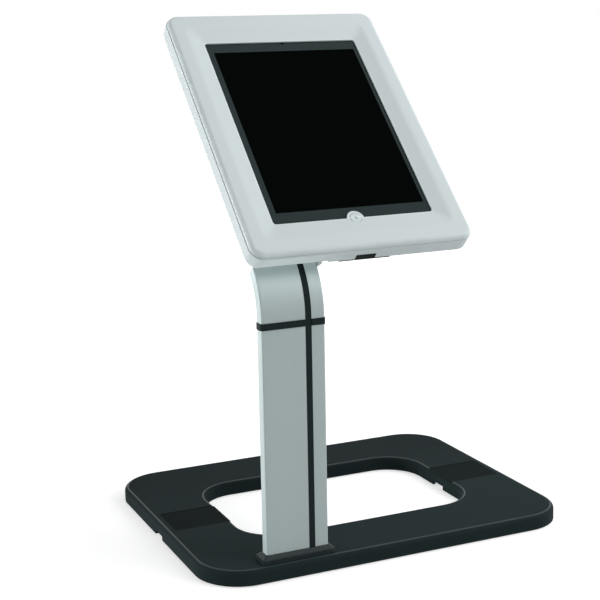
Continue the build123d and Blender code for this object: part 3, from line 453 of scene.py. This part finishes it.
# Painted light: the bottom wall is made lighter towards its left.
bottom_wall_painted_light = low.step(wall_from, wall_to) * left.step(0.0, wall_left) * behind.step(0.0, wall_back)
tone = bottom_wall_painted_light.blend(vary(cloud * 0.6 + flake * 0.4, pale, 0.965, 1.035), shade(pale, 1.28))
feed(shader, "Base Color", (handled * 0.5).most(lip_painted_highlight).blend(tone, shade(pale, 1.16)))
feed(shader, "Roughness", 0.40 + cloud * 0.06 + flake * 0.05 - handled * 0.08)
bump(shader, peel * 0.8 + flake * 0.2, 0.00002, 0.5)
put_on(enclosure, "rear_shell", "front_frame", "home_button")
print("enclosure outline", enclosure_outline, "window outline", window_outline)

# %% Powder coat on the bracket
bracket_paint, shader, place = start_material("bracket_paint", Specular_IOR_Level=0.35)
powder = place.noise(1500, 3)
feed(shader, "Base Color", vary(place.noise(25, 3), pale, 0.90, 1.0))
feed(shader, "Roughness", 0.48 + powder * 0.16)
bump(shader, powder, 0.0001, 0.6)
put_on(bracket_paint, "tilt_bracket")
print("bracket done")

# %% [markdown]
# ## The tablet's face
# The tablet's glass is one smooth sheet. Its border is printed dark grey on the back, and the switched-off
# display behind the middle is almost black. Clear glass over a separate black plate would need many light bounces
# for the same look, so a mask of the display's outline blends two shaders: one for the border with a plain
# reflection, and one for the deep black of the display and of the camera's small dot above it. Faint finger
# smears change only the gloss.

# %% Glass with its border and display
display_outline = (0.1478, 0.1971, 0.0005)
tablet_x, tablet_y = 0.0020, 0.0002
dot_x, dot_y, dot_radius = 0.0020, 0.1090, 0.0017
display_blur, dot_blur = 0.0001, 0.0002
border_grey = (0.0250, 0.0372, 0.0372)
display_tones = (0.0019, 0.0023, 0.0023, 1), (0.0024, 0.0028, 0.0028, 1)

glass, shader, place = start_material("tablet_glass", Specular_IOR_Level=0.012)
hx, hy = in_head(place, head_right, head_up)
smear = place.noise(38, 4).step(0.45, 0.75)
feed(shader, "Base Color", vary(place.noise(60, 2), border_grey, 0.94, 1.06))
feed(shader, "Roughness", 0.10 + smear * 0.08)
bump(shader, place.noise(220, 2), 0.00001, 0.2)

from_display = outline_distance(hx - tablet_x, hy - tablet_y, *display_outline)
off_x, off_y = hx - dot_x, hy - dot_y
from_dot = (off_x * off_x + off_y * off_y).root()
past_display = from_display.step(-display_blur, display_blur)
past_dot = from_dot.step(dot_radius - dot_blur, dot_radius + dot_blur)
border = past_display * past_dot
deep_black = place.node("ShaderNodeBsdfPrincipled", {}, {
    "Specular IOR Level": 0.0,
    "Base Color": place.noise(20, 2).blend(*display_tones),
    "Roughness": 0.12 + smear * 0.08,
})
printed = Wire(glass.node_tree, shader.outputs[0])
face = border.node("ShaderNodeMixShader", {}, {"Fac": border, 1: deep_black, 2: printed})
feed(glass.node_tree.nodes["Material Output"], "Surface", face)
put_on(glass, "tablet_glass")
print("display", display_outline[:2])

# %% [markdown]
# ## The tablet's case and inner parts
# The case is bead-blasted aluminium: a true metal whose gloss is broken by a very fine, even grain. The display
# and the battery behind the glass are plain dark plastic. The board has a green mask with pale tracks, for which
# a brick pattern gives the straight, stepped lines. None of them shows while the enclosure is shut.

# %% Blasted case
case_tones = (0.56, 0.57, 0.58, 1), (0.61, 0.62, 0.63, 1)
blasted, shader, place = start_material("tablet_aluminium", Metallic=1.0)
blast = place.noise(5200, 2)
feed(shader, "Base Color", place.noise(18, 2).blend(*case_tones))
feed(shader, "Roughness", 0.38 + blast * 0.08)
bump(shader, blast, 0.00002, 0.4)
put_on(blasted, "tablet_case")
print("case done")

# %% Display, battery and board
dark_tones = (0.014, 0.014, 0.015, 1), (0.022, 0.022, 0.023, 1)
inner_plastic, shader, place = start_material("tablet_parts", Specular_IOR_Level=0.3)
feed(shader, "Base Color", place.noise(40, 3).blend(*dark_tones))
feed(shader, "Roughness", 0.45 + place.noise(600, 2) * 0.15)
put_on(inner_plastic, "tablet_display", "tablet_battery")

mask_green, track_green = (0.012, 0.075, 0.030, 1), (0.040, 0.150, 0.060, 1)
board, shader, place = start_material("circuit_board", Specular_IOR_Level=0.45)
tracks = place.node("ShaderNodeTexBrick", {}, {"Vector": place, "Scale": 260, "Mortar Size": 0.06}, "Fac")
feed(shader, "Base Color", tracks.blend(mask_green, track_green))
feed(shader, "Roughness", 0.35 + place.noise(500, 2) * 0.15)
bump(shader, tracks, 0.00003, 0.5)
put_on(board, "tablet_board")
print("inner parts done")

# %% [markdown]
# ## Metal fittings
# Screws, bars, blocks and the ballast plate are zinc-plated steel. Zinc is a soft blue-grey with cloudy patches,
# and its parts carry fine scratches in every direction, so two noises drawn out in different directions are laid
# over each other. The hinge bushes are bronze, which is warmer, and the lock's body is nickel-plated, which is
# smoother and brighter. One function makes all three, because only tones and gloss differ.

# %% Steel, bronze and nickel
def plated(name, dark, light, smooth, scratch):
    """Plated metal: cloudy colour between two tones, fine scratches in the roughness and a shallow bump."""
    material, shader, place = start_material(name, Metallic=1.0)
    cloud = place.noise(120, 4)
    scratches = place.noise(1800, 3, (1, 0.08, 1)).most(place.noise(1700, 3, (0.08, 1, 0.6)))
    feed(shader, "Base Color", cloud.blend(dark, light))
    feed(shader, "Roughness", smooth + scratches * scratch + cloud * 0.05)
    bump(shader, scratches, 0.00002, 0.3)
    return material


steel_parts = [part["node"] for part in frame["record"]["subparts"] if part["material_slot"] == "steel"]
lock_parts = ["lock_body", "lock_nut", "lock_barrel"]

# Each metal's dark and light tone, its least roughness, how much the scratches add, and its parts.
metals = {
    "zinc_steel": ((0.42, 0.44, 0.46, 1), (0.58, 0.60, 0.62, 1), 0.30, 0.20, steel_parts),
    "bearing_bronze": ((0.42, 0.29, 0.14, 1), (0.56, 0.40, 0.20, 1), 0.32, 0.16, ["hinge_bushes"]),
    "nickel": ((0.60, 0.59, 0.57, 1), (0.72, 0.71, 0.69, 1), 0.14, 0.12, lock_parts),
}
for metal_name, (*metal_facts, metal_parts) in metals.items():
    put_on(plated(metal_name, *metal_facts), *metal_parts)
    print(metal_name, "on", len(metal_parts), "parts")

# %% [markdown]
# ## Rubber and foam
# The feet and the friction washer are solid rubber, and the pads round the tablet are closed-cell foam. The cover
# in the plug cut-out is a black rubber piece put where the cut-out only holds shade: a painted shade. Rubber is
# even, with a faint bloom. Foam shows its cells, which a Voronoi pattern gives: each cell is a small dimple.

# %% Rubber
rubber_tones = (0.010, 0.013, 0.013, 1), (0.016, 0.020, 0.020, 1)
rubber, shader, place = start_material("rubber", Specular_IOR_Level=0.08)
bloom = place.noise(90, 4)
feed(shader, "Base Color", bloom.blend(*rubber_tones))
feed(shader, "Roughness", 0.70 + bloom * 0.12)
bump(shader, place.noise(2000, 2), 0.00005, 0.5)
# Painted shade: the port cover is a black piece that stands in the plug cut-out for its shade.
put_on(rubber, "rubber_feet", "friction_washer", "port_cover")
print("rubber done")

# %% Foam
cells_per_metre = 1400
foam_tones = (0.016, 0.016, 0.017, 1), (0.034, 0.034, 0.035, 1)
foam, shader, place = start_material("foam", Specular_IOR_Level=0.1)
cells = place.node("ShaderNodeTexVoronoi", {}, {"Vector": place, "Scale": cells_per_metre}, "Distance")
feed(shader, "Base Color", cells.blend(*foam_tones))
feed(shader, "Roughness", 0.85 + place.noise(300, 2) * 0.1)
bump(shader, cells, 0.0002, 0.6)
put_on(foam, "back_pads", "side_pads", "window_gasket")
print("foam done")
